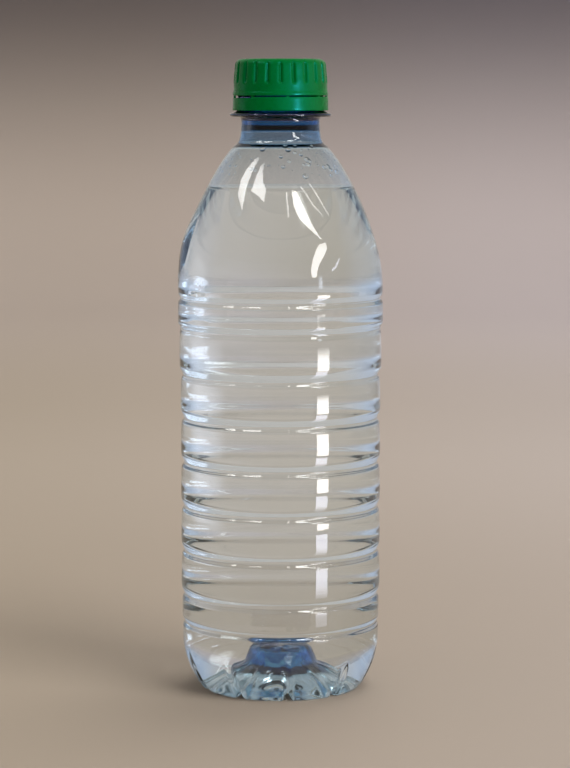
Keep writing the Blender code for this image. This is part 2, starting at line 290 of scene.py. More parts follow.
def makeDent():  # a soft hollow at one azimuth and height
    tree, enter, leave = startTree(
        "dent",
        {
            "Radius": 0.03, "Azimuth": 0.0, "Height": 0.1, "At Azimuth": 0.0, "At Height": 0.1,
            "Reach Round": 0.005, "Reach Up": 0.005, "Slant": 0.0, "Depth": 0.001, "Firmness": 1.0,
        },
        {"Push": 0.0},
    )
    turned = wrapped(tree, enter["Azimuth"], enter["At Azimuth"], math.pi)
    across = product(tree, turned, enter["Radius"])
    up = minus(tree, enter["Height"], enter["At Height"])
    across = calc(tree, "MULTIPLY_ADD", up, enter["Slant"], across)
    far = calc(tree, "POWER", calc(tree, "DIVIDE", across, enter["Reach Round"]), 2.0)
    high = calc(tree, "POWER", calc(tree, "DIVIDE", up, enter["Reach Up"]), 2.0)
    away = calc(tree, "POWER", calc(tree, "ADD", far, high), enter["Firmness"])
    fade = calc(tree, "EXPONENT", product(tree, away, -1.0))
    wire(tree, leave["Push"], product(tree, fade, enter["Depth"]))
    return tree


def makeHelixRidge():  # 1 on a right-hand thread's crest, 0 off it
    tree, enter, leave = startTree(
        "helixRidge",
        {
            "Azimuth": 0.0, "Height": 0.2, "Top": 0.2, "Pitch": 0.0027, "Turns": 1.8, "Start": 0.0,
            "Root Width": 0.0016, "Crest Width": 0.0006, "Fade": 0.06,
        },
        {"Ridge": 0.0},
    )
    behind = calc(tree, "DIVIDE", minus(tree, enter["Start"], enter["Azimuth"]), fullTurn)
    part = calc(tree, "FRACT", behind)
    down = calc(tree, "DIVIDE", minus(tree, enter["Top"], enter["Height"]), enter["Pitch"])
    lap = calc(tree, "ROUND", minus(tree, down, part))
    done = calc(tree, "ADD", lap, part)
    away = calc(tree, "ABSOLUTE", minus(tree, down, done))
    away = product(tree, away, enter["Pitch"])
    outer = product(tree, enter["Root Width"], 0.5)
    inner = product(tree, enter["Crest Width"], 0.5)
    flank = ramp(tree, away, outer, inner)
    starts = ramp(tree, done, 0.0, enter["Fade"])
    ends = ramp(tree, minus(tree, enter["Turns"], done), 0.0, enter["Fade"])
    wire(tree, leave["Ridge"], product(tree, flank, starts, ends))
    return tree


ringGroove = makeRingGroove()
dent = makeDent()
helixRidge = makeHelixRidge()


# ---- thread, the same helix on neck and cap

thread = {"pitch": 2.7, "turns": 1.8, "start": 60, "top": 201.6, "rootWidth": 1.6, "neckCrest": 0.6,
          "neckHeight": 1.08, "capCrest": 0.5, "capHeight": 1.05, "capDrop": 1.25}


def threadRidge(tree, azimuth, height, top, crest, tall):
    ridge = useTree(
        tree, helixRidge, Azimuth=azimuth, Height=height, Top=top * mm, Pitch=thread["pitch"] * mm,
        Turns=thread["turns"], Start=math.radians(thread["start"]), Root_Width=thread["rootWidth"] * mm,
        Crest_Width=crest * mm,
    ).outputs["Ridge"]
    return product(tree, ridge, readField(tree, "threadWall"), tall)


# ---- materials

def newMaterial(name, colour, **settings):
    made = bpy.data.materials.new(name)
    made.use_nodes = True
    shader = made.node_tree.nodes["Principled BSDF"]
    shader.inputs["Base Color"].default_value = (*colour, 1.0)
    for label, value in settings.items():
        shader.inputs[label.replace("_", " ")].default_value = value
    return made, made.node_tree, shader


def objectPlace(tree):
    return addNode(tree, "ShaderNodeTexCoord").outputs["Object"]


# ---- bottle

bottleShape = {
    "boreRadius": 10.9,
    "threadRadius": 12.47,
    "beadRadius": 14.0,
    "collarRadius": 13.1,
    "ringRadius": 16.5,
    "ringHeight": 187.5,
    "ringEdge": 0.58,
    "neckWaist": (12.72, 185.2),
    "neckEnd": 184.7,           # the moulded neck's thick wall stops here
    "neckTaper": 2.4,           # from there down to the blown wall
    "shoulderTop": (14.4, 178.0),
    "shoulderPull": (20.4, 173.2),
    "shoulderEase": (33.2, 148.5),
    "shoulderEnd": (33.35, 132.8),
    "upperRadius": 33.45,
    "panelRadius": 32.85,
    "landRadius": 32.35,
    "baseTop": 18.6,
    "gateHeight": 14.0,
    "gateWall": 1.1,
}

ribs = {"Rib Count": 6, "First Rib": 103.6 * mm, "Rib Pitch": 14.5 * mm, "Rib Depth": 0.7 * mm,
        "Rib Reach Up": 2.5 * mm, "Rib Reach Down": 1.75 * mm, "Land Bulge": 0.35 * mm, "Widest At": 0.7}

# height, depth, reach up, reach down
bandGrooves = ((128.3, 0.7, 1.6, 1.9), (119.2, 0.3, 1.2, 2.6), (22.0, 0.75, 1.9, 1.6))

feet = {"Foot Count": 10, "Channel Azimuth": math.radians(-85), "Channel Half Angle": math.radians(4.2)}

waver = {"Waviness": 0.05 * mm, "Wave Scale": 42.0, "Wave Seed": 3.0}
lumps = {"Lump Height": 1.3 * mm, "Lump Radius": 10.5 * mm, "Lump Scale": 330.0, "Lump Top": 17 * mm}

# azimuth in degrees, height, reach round, reach up, slant, depth, firmness
dents = (
    (180, 147.0, 14.0, 9.0, 0.0, -1.0, 1.0),     # the creased shoulder's bulge
    (200.5, 147.5, 1.5, 6.0, 0.0, 0.5, 1.6),     # its crease
    (214, 139.0, 4.5, 3.4, 0.3, 0.3, 1.0),
    (215, 131.6, 3.0, 1.7, 0.3, 0.6, 1.5),
    (214, 124.6, 1.8, 2.6, 0.2, 0.22, 1.2),
    (222, 123.6, 1.5, 2.0, -0.2, 0.2, 1.2),
    (-59.5, 124.0, 2.6, 4.1, 0.1, 0.3, 2.2),     # the shallow dimple on the right
)

# wall thickness by height, from the base up to the neck
thinnest = 0.06
wallHeights = (14.0, 22.0, 60.0, 165.0, 177.5, 178.4, 179.4, 182.9)
wallSizes = (thinnest, thinnest, thinnest, thinnest, 0.1, 0.62, 0.52, 0.5)

# radius, height and wall through the middle of a foot, and through a channel between two feet
footLine = (
    (32.2, 18.6, 0.06), (32.0, 14.6, 0.06), (30.9, 9.4, 0.06), (28.5, 4.0, 0.06), (25.7, 0.0, 0.06),
    (23.1, 0.0, 0.06), (18.4, 4.6, 0.07), (13.6, 7.7, 0.1), (10.9, 8.9, 0.45), (8.4, 9.7, 0.9),
    (7.1, 12.0, 1.1), (6.3, 13.7, 1.1), (3.4, 14.0, 1.1), (0.0, 14.0, 1.1),
)
channelLine = footLine[:2] + (
    (30.6, 10.0, 0.06), (28.0, 5.4, 0.06), (25.4, 2.6, 0.06), (22.6, 2.9, 0.06), (17.9, 6.1, 0.07),
    (13.4, 8.4, 0.1), (10.9, 9.3, 0.45), (8.4, 9.9, 0.9),
) + footLine[-4:]


def neckOutline():
    s = bottleShape
    crown, bead, collar, wide = s["threadRadius"], s["beadRadius"], s["collarRadius"], s["ringRadius"]
    ring, edge = s["ringHeight"], s["ringEdge"]
    outline = arcRun((crown - 0.5, rimHeight - 0.5), 0.5, 90, 0, 3)
    outline += straightRun((crown, rimHeight - 0.8), (crown, 195.4), 0.27)
    outline += curveRun((crown, 195.1), (crown, 194.1), (bead, 194.3), (bead, 193.2), 6)
    outline += curveRun((bead, 192.9), (bead, 192.2), (collar, 192.4), (collar, 191.5), 5)
    outline.append((collar, 190.1))
    outline += curveRun((collar, 189.9), (collar, 189.2), (14.6, ring + 0.9), (wide - 0.6, ring + edge), 6)
    outline += arcRun((wide - edge, ring), edge, 72, -72, 5)
    outline += curveRun((wide - 0.6, ring - edge), (13.4, ring - 0.5), (12.95, ring - 0.6), (12.75, 185.9), 6)
    outline += curveRun(s["neckWaist"], (12.95, 182.5), (12.68, 179.4), s["shoulderTop"], 14)
    return outline


def bodyHeights():  # close rows in the grooves, wider ones on the lands
    grooves = [(height, up, down) for height, _, up, down in bandGrooves]
    for rib in range(ribs["Rib Count"]):
        height = (ribs["First Rib"] - rib * ribs["Rib Pitch"]) / mm
        grooves.append((height, ribs["Rib Reach Up"] / mm, ribs["Rib Reach Down"] / mm))
    heights = [bottleShape["shoulderEnd"][1]]
    while heights[-1] > bottleShape["baseTop"] + 1.0:
        here = heights[-1] - 0.2
        steps = [1.3]
        for height, up, down in grooves:
            if -down - 0.3 < here - height < min(up, 0.9):
                steps.append(0.36)
            elif 0 < here - height < up + 0.6:
                steps.append(0.7)
        heights.append(heights[-1] - min(steps))
    return heights[1:]


def ease(value):  # 0 below 0, 1 above 1, smooth between
    share = min(max(value, 0.0), 1.0)
    return share**2 * (3 - 2 * share)


def bodyRadius(height):  # before grooves and bulges, which step it down
    s = bottleShape
    radii = (s["shoulderEnd"][0], s["upperRadius"], s["panelRadius"], s["landRadius"], footLine[0][0])
    steps = (bandGrooves[0][0], bandGrooves[1][0], ribs["First Rib"] / mm, bandGrooves[2][0])
    return radii[0] + sum(
        (below - above) * ease((at + 1.0 - height) / 2.0) for at, above, below in zip(steps, radii, radii[1:])
    )


def bottleOutlines():
    s = bottleShape
    neck = neckOutline()
    shoulder = curveRun(s["shoulderTop"], s["shoulderPull"], s["shoulderEase"], s["shoulderEnd"], 40)[1:]
    body = [(bodyRadius(height), height) for height in bodyHeights()]
    foot = smoothRun(footLine, 4)
    channel = smoothRun(channelLine, 4)
    blown = shoulder + body
    under = [p for p in neck if p[1] < s["neckEnd"] - s["neckTaper"]] + blown
    walls = list(np.interp([p[1] for p in under], wallHeights, wallSizes))

    def withBase(line, sizes=None):  # adds the base, and how far a channel shifts each point
        onFoot = line + [(p[0], max(p[1], 0.0)) for p in foot]
        onChannel = line + [(p[0], p[1]) for p in channel]
        if sizes is not None:
            onFoot = insideOf(onFoot, sizes + [max(p[2], thinnest) for p in foot])
            onChannel = insideOf(onChannel, sizes + [max(p[2], thinnest) for p in channel])
        return onFoot, np.array(onChannel) - np.array(onFoot)

    outer, outerShift = withBase(neck + blown)
    inner, innerShift = withBase(under, walls)
    first, wide, end = inner[0], s["boreRadius"], s["neckEnd"]
    bore = arcRun((wide + 0.4, rimHeight - 0.4), 0.4, 90, 180, 3)
    bore += straightRun((wide, rimHeight - 1.5), (wide, end - 0.2), 3.0)
    bore += curveRun((wide, end - 0.3), (wide, end - 1.2), (first[0], first[1] + 1.1), first, 10)[:-1]
    inner[-1] = (0.0, s["gateHeight"] + s["gateWall"])
    outer[-1] = (0.0, s["gateHeight"])
    return outer, outerShift, bore, inner, innerShift


def evenStations(count):
    return [fullTurn * i / count for i in range(count)]


def spokeStations(count, first, half, wide):  # close in each groove, wider between; all in degrees
    pitch = 360 / count
    offsets = list(np.linspace(-half, half, 9)) + list(np.linspace(half, pitch - half, wide))[1:-1]
    return [math.radians(first + n * pitch + at) for n in range(count) for at in offsets]


footStations = spokeStations(
    feet["Foot Count"], math.degrees(feet["Channel Azimuth"]),
    math.degrees(feet["Channel Half Angle"]) + 0.4, 9,
)


def makeBottleForm():  # the blown shell's ribs, grooves, feet, dents and thread
    inputs = {"Geometry": "", **ribs, **feet, **waver, **lumps, "Thread Height": thread["neckHeight"] * mm}
    tree, enter, leave = startTree("bottleForm", inputs)
    place, radius, azimuth, height, outward = polarSplit(tree)

    down = minus(tree, enter["First Rib"], height)
    laps = calc(tree, "DIVIDE", down, enter["Rib Pitch"])
    last = minus(tree, enter["Rib Count"], 1.0)
    nearest = calc(tree, "MINIMUM", calc(tree, "MAXIMUM", calc(tree, "ROUND", laps), 0.0), last)
    centre = minus(tree, enter["First Rib"], product(tree, nearest, enter["Rib Pitch"]))
    push = useTree(
        tree, ringGroove, Height=height, Centre=centre, Depth=enter["Rib Depth"],
        Reach_Up=enter["Rib Reach Up"], Reach_Down=enter["Rib Reach Down"],
    ).outputs["Push"]
    for at, depth, up, down in bandGrooves:
        groove = useTree(
            tree, ringGroove, Height=height, Centre=at * mm, Depth=depth * mm, Reach_Up=up * mm,
            Reach_Down=down * mm,
        )
        push = calc(tree, "ADD", push, groove.outputs["Push"])
    for at, high, reach, rise, slant, depth, firmness in dents:
        hollow = useTree(
            tree, dent, Radius=radius, Azimuth=azimuth, Height=height, At_Azimuth=math.radians(at),
            At_Height=high * mm, Reach_Round=reach * mm, Reach_Up=rise * mm, Slant=slant, Depth=depth * mm,
            Firmness=firmness,
        )
        push = calc(tree, "ADD", push, hollow.outputs["Push"])

    between = minus(tree, calc(tree, "FRACT", laps), enter["Widest At"])
    under = calc(tree, "DIVIDE", between, minus(tree, 1.0, enter["Widest At"]))
    over = calc(tree, "DIVIDE", product(tree, between, -1.0), enter["Widest At"])
    between = calc(tree, "COSINE", product(tree, calc(tree, "MAXIMUM", under, over), math.pi / 2))
    inRibs = product(tree, calc(tree, "GREATER_THAN", laps, -1.0), calc(tree, "LESS_THAN", laps, last))
    bulge = product(tree, between, inRibs, enter["Land Bulge"], ramp(tree, laps, -0.1, 0.0, 0.4, 1.0))

    tall = enter["Thread Height"]
    ridge = threadRidge(tree, azimuth, height, thread["top"], thread["neckCrest"], tall)

    def noise(scale, detail):  # from -0.5 to 0.5
        grain = result(
            tree, "ShaderNodeTexNoise", place, enter["Wave Seed"], scale, detail, noise_dimensions="4D",
        )
        return minus(tree, grain, 0.5)

    belowNeck = ramp(tree, height, 0.178, 0.168, 0.0, 2.0)
    drift = product(tree, noise(enter["Wave Scale"], 1.5), belowNeck, enter["Waviness"])
    out = calc(tree, "ADD", calc(tree, "ADD", bulge, ridge), minus(tree, drift, push))

    mask = spokes(tree, azimuth, *(enter[label] for label in feet))
    out = calc(tree, "ADD", out, product(tree, readField(tree, "channelOut"), mask))
    middle = ramp(tree, radius, enter["Lump Radius"], 0.007, 0.0, 2.0)
    low = calc(tree, "LESS_THAN", height, enter["Lump Top"])
    lumpy = product(tree, noise(enter["Lump Scale"], 2.0), middle, low, enter["Lump Height"])
    lift = calc(tree, "ADD", product(tree, readField(tree, "channelUp"), mask), lumpy)

    total = result(
        tree, "ShaderNodeVectorMath", scaleBy(tree, outward, out), upwards(tree, lift), operation="ADD",
    )
    moved = result(tree, "GeometryNodeSetPosition", enter["Geometry"], Offset=total)
    wire(tree, leave["Geometry"], moved)
    return tree


petLook = {
    "index": 1.575,
    "absorbed": (0.12, 0.61, 0.80), "density": 1400.0,     # per metre: the wall is thin and the neck is thick
    "blots": (0.22, 0.46, 0.74), "blotScale": 330.0, "blotTop": 16.5 * mm, "blotRadius": 12.5 * mm,
    # painted shade: this colour greys the wall from the shoulder's top up to just under the support ring
    "root": (0.82, 0.73, 0.79), "rootShadeFoot": 177.9 * mm, "rootShadeTop": 185.5 * mm,
}


def clearMaterial(name, index):
    return newMaterial(name, (1.0, 1.0, 1.0), Roughness=0.0, IOR=index, Transmission_Weight=1.0)


def makePet():  # darker blots in the base's thick centre, and painted shade that greys the neck's root under the support ring
    look = petLook
    made, tree, shader = clearMaterial("clearPet", look["index"])
    tint = result(tree, "ShaderNodeVolumeAbsorption", (*look["absorbed"], 1.0), look["density"])
    tree.links.new(tint, tree.nodes["Material Output"].inputs["Volume"])
    place = objectPlace(tree)
    flat = result(tree, "ShaderNodeVectorMath", place, (1.0, 1.0, 0.0), operation="MULTIPLY")
    radius = addNode(tree, "ShaderNodeVectorMath", flat, operation="LENGTH").outputs["Value"]
    height = addNode(tree, "ShaderNodeSeparateXYZ", place).outputs["Z"]
    centre = ramp(tree, radius, look["blotRadius"], look["blotRadius"] - 2 * mm)
    low = ramp(tree, height, look["blotTop"], look["blotTop"] - 1 * mm)
    blot = result(tree, "ShaderNodeTexNoise", place, None, look["blotScale"], 2.5, Distortion=0.8)
    cloudy = product(tree, centre, low, ramp(tree, blot, 0.5, 0.6))
    colour = mixColours(tree, cloudy, (1.0, 1.0, 1.0, 1.0), (*look["blots"], 1.0))
    # painted shade under the support ring
    above = ramp(tree, height, look["rootShadeFoot"], look["rootShadeFoot"] + 0.6 * mm)
    root = product(tree, above, ramp(tree, height, look["rootShadeTop"], look["rootShadeTop"] - 2 * mm))
    wire(tree, shader.inputs["Base Color"], mixColours(tree, root, colour, (*look["root"], 1.0)))
    return made


def formedShell(name, outline, shift, threaded, material):
    shift = np.array(shift) * mm
    shares = {"channelOut": shift[:, 0], "channelUp": shift[:, 1], "threadWall": threaded}
    piece = runTree(turnedMesh(name, outline, footStations, shares), bottleForm, {**ribs, **feet})
    clothe(piece, material)
    return piece


def makeBottle():
    outer, outerShift, bore, inner, innerShift = bottleOutlines()
    shift = np.concatenate([outerShift[::-1], np.zeros((len(bore), 2)), innerShift])
    threaded = [1.0 if 195.2 < p[1] < rimHeight - 0.6 else 0.0 for p in outer[::-1]]
    threaded += [0.0] * (len(bore) + len(inner))
    piece = formedShell("bottleShell", outer[::-1] + bore + inner, shift, threaded, makePet())
    return piece, inner, innerShift


bottleForm = makeBottleForm()
bottleShell, innerLine, innerShift = makeBottle()
tell("bottle", bottleShell)


# ---- water

waterShape = {"wallInset": -0.05, "climb": 0.45, "climbReach": 0.9, "index": 1.333}


def makeWater():
    w = waterShape
    contact = waterLevel + w["climb"]
    keep = [i for i, p in enumerate(innerLine) if p[1] <= contact]
    wall = insideOf(innerLine, [w["wallInset"]] * len(innerLine))
    side = [wall[i] for i in keep]
    shift = [(0.0, 0.0)]
    brim, rise = side[0][0], side[0][1] - waterLevel
    outline = [(0.0, waterLevel)]
    reaches = [brim * 0.3, brim * 0.6, brim - 8] + list(brim - np.geomspace(5.5, 0.12, 14))
    for radius in reaches:
        outline.append((radius, waterLevel + rise * math.exp((radius - brim) / w["climbReach"])))
        shift.append((0.0, 0.0))
    outline += side
    shift += [tuple(innerShift[i]) for i in keep]
    outline[-1] = (0.0, outline[-1][1])
    water = clearMaterial("stillWater", w["index"])[0]
    return formedShell("waterBody", outline, shift, [0.0] * len(outline), water)


waterBody = makeWater()
tell("water", waterBody)


# ---- drops left on the dry wall above the water

drops = {"Density": 60000.0, "Smallest": 0.2 * mm, "Largest": 1.0 * mm, "Lowest": 169.0 * mm, "Seed": 11}


def makeDropScatter(water):
    inputs = {"Geometry": "", **drops, "Drop": water}
    tree, enter, leave = startTree("dropScatter", inputs)
    _, _, _, height, outward = polarSplit(tree)
    high = calc(tree, "GREATER_THAN", height, enter["Lowest"])
    spots = addNode(
        tree, "GeometryNodeDistributePointsOnFaces", enter["Geometry"], high, Density=enter["Density"],
        Seed=enter["Seed"],
    ).outputs
    facing = addNode(tree, "ShaderNodeVectorMath", spots["Normal"], outward, operation="DOT_PRODUCT")
    inward = scaleBy(tree, spots["Normal"], product(tree, calc(tree, "SIGN", facing.outputs["Value"]), -1.0))
    turned = result(tree, "FunctionNodeAlignRotationToVector", Vector=inward)
    ball = addNode(tree, "GeometryNodeMeshIcoSphere", 1.0, 3).outputs["Mesh"]
    flat = result(
        tree, "GeometryNodeTransform", ball, Translation=(0.0, 0.0, 0.3), Scale=(1.0, 1.0, 0.42),
    )
    chance = addNode(tree, "FunctionNodeRandomValue", data_type="FLOAT", Seed=enter["Seed"]).outputs[1]
    few = calc(tree, "POWER", chance, 3.0)  # mostly small ones
    placed = result(
        tree, "GeometryNodeInstanceOnPoints", spots["Points"], Instance=flat, Rotation=turned,
        Scale=ramp(tree, few, 0.0, 1.0, enter["Smallest"], enter["Largest"]),
    )
    real = result(tree, "GeometryNodeRealizeInstances", placed)
    smooth = result(tree, "GeometryNodeSetShadeSmooth", real)
    wire(tree, leave["Geometry"], result(tree, "GeometryNodeSetMaterial", smooth, Material=enter["Drop"]))
    return tree


def makeDrops():
    water = waterBody.data.materials[0]
    wall = [p for p in innerLine if 166 < p[1] < 178]
    piece = turnedMesh("wallDrops", wall, footStations)
    return runTree(piece, makeDropScatter(water), {**drops, "Drop": water})


wallDrops = makeDrops()
tell("drops", wallDrops)


# ---- cap

capShape = {"edgeRadius": 2.3, "shoulderRadius": 14.75, "skirtRadius": 15.25, "lipRadius": 15.45,
            "innerRadius": 14.0, "plate": 1.3, "plugRadius": 10.5, "plugDepth": 2.4}

# radius, and how far the cap's top lies below its highest ring
capDish = ((0.0, 0.12), (1.0, 0.12), (1.5, 0.2), (2.2, 0.2), (6.0, 0.16), (9.6, 0.12), (10.4, 0.1),
           (10.8, 0.02), (11.4, 0.0))

grips = {"Grip Count": 22, "First Grip": math.radians(-90), "Grip Half Angle": math.radians(3.3),
         "Grip Depth": 0.75 * mm}
gripHeights, gripShares = (197.5, 198.3, 203.6, 204.7), (0.0, 1.0, 0.9, 0.0)


def capOutlines():
    c = capShape
    skirt, lip, bore, plug = c["skirtRadius"], c["lipRadius"], c["innerRadius"], c["plugRadius"]
    edge = c["edgeRadius"]
    outer = [(radius, capTop - drop) for radius, drop in capDish]
    outer += arcRun((c["shoulderRadius"] - edge, capTop - edge), edge, 90, 4, 10)
    outer += straightRun((c["shoulderRadius"] + 0.03, 202.6), (15.12, 198.6), 0.35)
    outer += straightRun((15.14, 198.3), (15.2, 196.2), 0.3)
    outer += curveRun((skirt, 195.2), (skirt, 194.7), (lip, 194.9), (lip, 194.4), 5)
    outer += [(lip, 194.1)]
    outer += arcRun((lip - 0.2, capFoot + 0.2), 0.2, 0, -90, 3)
    ceiling = capTop - c["plate"]
    inner = [(14.35, capFoot), (14.2, capFoot + 0.25), (bore, capFoot + 1.0)]
    inner += straightRun((bore, capFoot + 1.4), (bore, ceiling - 2.2), 0.27)
    inner += curveRun((bore, ceiling - 1.9), (bore, ceiling - 0.6), (13.6, ceiling), (12.9, ceiling), 5)
    inner += [(plug + 0.3, ceiling), (plug, ceiling - 0.3), (plug, ceiling - 1.2)]
    inner += arcRun((plug - 0.35, ceiling - c["plugDepth"] + 0.35), 0.35, 0, -180, 6)
    inner += [(plug - 0.8, ceiling - 0.3), (plug - 1.1, ceiling), (4.0, ceiling), (0.0, ceiling)]
    return outer, inner


def makeCapForm():
    inputs = {"Geometry": "", **grips, "Thread Height": thread["capHeight"] * mm}
    tree, enter, leave = startTree("capForm", inputs)
    _, _, azimuth, height, outward = polarSplit(tree)
    count, first, half, depth = (enter[label] for label in grips)
    groove = spokes(tree, azimuth, count, first, half)
    cut = product(tree, groove, readField(tree, "gripShare"), depth)
    top, tall = thread["top"] - thread["capDrop"], enter["Thread Height"]
    ridge = threadRidge(tree, azimuth, height, top, thread["capCrest"], tall)
    inwards = scaleBy(tree, outward, product(tree, calc(tree, "ADD", cut, ridge), -1.0))
    moved = result(tree, "GeometryNodeSetPosition", enter["Geometry"], Offset=inwards)
    wire(tree, leave["Geometry"], moved)
    return tree


gripStations = spokeStations(
    grips["Grip Count"], math.degrees(grips["First Grip"]), math.degrees(grips["Grip Half Angle"]), 6,
)


def makeMouldedFinish():  # fine grain and light rub marks of injection moulded plastic
    inputs = {"Place": Vector((0.0, 0.0, 0.0)), "Grain Size": 0.0011, "Grain Depth": 0.00001,
              "Rub Scale": 260.0, "Dull": 0.32, "Polished": 0.2}
    outputs = {"Roughness": 0.3, "Normal": Vector((0.0, 0.0, 0.0))}
    tree, enter, leave = startTree("mouldedFinish", inputs, outputs, "ShaderNodeTree")
    scale = calc(tree, "DIVIDE", 1.0, enter["Grain Size"])
    grain = result(tree, "ShaderNodeTexNoise", enter["Place"], None, scale, 3.0)
    bump = result(tree, "ShaderNodeBump", 1.0, enter["Grain Depth"], Height=grain)
    rubbed = result(tree, "ShaderNodeTexNoise", enter["Place"], None, enter["Rub Scale"], 4.0)
    wire(tree, leave["Roughness"], ramp(tree, rubbed, 0.42, 0.66, enter["Dull"], enter["Polished"]))
    wire(tree, leave["Normal"], bump)
    return tree


mouldedFinish = makeMouldedFinish()


greenLook = {"colour": (0.0, 0.19, 0.03), "index": 1.5, "gloss": 0.13, "tint": (0.05, 0.85, 1.0),
             "depth": 1.2 * mm, "spread": (0.3, 1.0, 0.5), "milky": 0.12}


def makeGreen(name):
    look = greenLook
    made, tree, shader = newMaterial(
        name, look["colour"], IOR=look["index"], Specular_IOR_Level=look["gloss"],
        Specular_Tint=(*look["tint"], 1.0), Subsurface_Weight=look["milky"],
        Subsurface_Radius=look["spread"], Subsurface_Scale=look["depth"],
    )
    finish = useTree(tree, mouldedFinish, Place=objectPlace(tree)).outputs
    wire(tree, shader.inputs["Roughness"], finish["Roughness"])
    wire(tree, shader.inputs["Normal"], finish["Normal"])
    return made


def makeCap():
    outer, inner = capOutlines()
    radii, heights = np.array(outer).T
    grip = np.interp(heights, gripHeights, gripShares) * (radii > 13)  # none on the top
    shares = {
        "gripShare": list(grip) + [0.0] * len(inner),
        "threadWall": [0.0] * len(outer) + [1.0 if p[0] == capShape["innerRadius"] else 0.0 for p in inner],
    }
    piece = runTree(turnedMesh("capShell", outer + inner, gripStations, shares), makeCapForm(), grips)
    clothe(piece, makeGreen("capGreen"))
    return piece


capShell = makeCap()
tell("cap", capShell)


# ---- tamper band

bandShape = {"top": 193.28, "radius": 15.4, "lipRadius": 15.55, "innerRadius": 14.3, "flapRadius": 13.4,
             "lean": 0.006, "drop": 0.3, "dropFrom": 7.5, "dropOver": 3.0, "stations": 180}


def makeBand():
    b = bandShape
    top, foot, bore, flap = b["top"], bandFoot, b["innerRadius"], b["flapRadius"]
    outline = arcRun((b["radius"] - 0.18, top - 0.18), 0.18, 90, 0, 3)
    outline += straightRun((b["radius"] + 0.02, top - 0.6), (b["lipRadius"] - 0.04, foot + 0.9), 0.5)
    outline += arcRun((b["lipRadius"] - 0.2, foot + 0.2), 0.2, 0, -90, 3)
    outline += [(bore + 0.2, foot), (bore, foot + 0.05), (13.8, foot + 0.6), (flap, foot + 1.3)]
    outline += [(flap, foot + 2.6), (13.55, foot + 2.85), (bore - 0.2, foot + 3.05), (bore, foot + 3.3)]
    outline += [(bore, top - 0.15), (bore + 0.15, top)]
    piece = turnedMesh("tamperBand", outline, evenStations(b["stations"]), loop=True)
    for vert in piece.data.vertices:  # the torn edge leans, and has sunk on the left
        share = min(max((vert.co.z / mm - foot - 1.0) / (top - foot - 1.0), 0.0), 1.0)
        torn = ease((-vert.co.x / mm - b["dropFrom"]) / b["dropOver"])
        vert.co.z += share * (b["lean"] * vert.co.x - b["drop"] * torn * mm)
    clothe(piece, makeGreen("bandGreen"))
    return piece


tamperBand = makeBand()
tell("band", tamperBand)

bridges = {"Bridge Count": 8, "Ring Radius": 14.95 * mm, "Top": (capFoot - 0.04) * mm,
           "First Bridge": math.radians(9)}
bridgeSize = (0.7 * mm, 0.9 * mm, 0.8 * mm)


def makeBridgeRing(plastic):  # stubs of the torn bridges around the band's edge
    inputs = {"Geometry": "", **bridges, "Plastic": plastic}
    tree, enter, leave = startTree("bridgeRing", inputs)
    ring = result(
        tree, "GeometryNodeMeshCircle", Vertices=enter["Bridge Count"], Radius=enter["Ring Radius"],
    )
    place = result(tree, "GeometryNodeInputPosition")
    turned = result(tree, "FunctionNodeAlignRotationToVector", axis="X", Vector=place)
    block = addNode(tree, "GeometryNodeMeshCube", bridgeSize, 3, 3, 3).outputs["Mesh"]
    sunk = (0.0, 0.0, -bridgeSize[2] / 2)
    lowered = result(tree, "GeometryNodeTransform", block, Translation=sunk)
    placed = result(
        tree, "GeometryNodeInstanceOnPoints", ring, Instance=lowered, Rotation=turned,
    )
    real = result(tree, "GeometryNodeRealizeInstances", placed)
    lifted = result(
        tree, "GeometryNodeTransform", real, Translation=upwards(tree, enter["Top"]),
        Rotation=upwards(tree, enter["First Bridge"]),
    )
    coated = result(tree, "GeometryNodeSetMaterial", lifted, Material=enter["Plastic"])
    wire(tree, leave["Geometry"], coated)
    return tree


def makeBridges():
    plastic = tamperBand.data.materials[0]
    piece = turnedMesh("bridgeStubs", [(14.9, 193.0), (15.0, 193.0)], [0.0, 2.0, 4.0])
    return runTree(piece, makeBridgeRing(plastic), {**bridges, "Plastic": plastic})


bridgeStubs = makeBridges()
tell("bridges", bridgeStubs)


# ---- bodies and nodes; each row also lists a slot

for piece, body, node, slot in (
    (bottleShell, "bottle_body", "bottle", "clear_pet"),
    (waterBody, "bottle_body", "water", "water"),
    (wallDrops, "bottle_body", None, "water"),
    (capShell, "cap_body", "cap", "cap_plastic"),
    (tamperBand, "band_body", "tamper_band", "band_plastic"),
    (bridgeStubs, "band_body", None, "band_plastic"),
):
    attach(piece, body)
    if node:
        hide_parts(node)


# ---- stage, light and camera

stageShape = {"floorRadius": 1500, "bend": 600, "wallHeight": 1300, "rings": (60, 200, 500, 1000),
              "stations": 96}

# how light the sweep is painted, as painted light and shade: near the bottle, farther out, at the bend, on
# the dim wall darkened as painted shade towards the top, above it; the cool tint paints cooler daylight on
# the right side
paints = {
    "near": (0.485, 0.4, 0.305), "far": (0.565, 0.475, 0.375), "bend": (0.69, 0.59, 0.5),
    "dim": (0.175, 0.15, 0.142), "high": (0.62, 0.56, 0.52), "coolLight": (1.12, 1.16, 1.32),
}


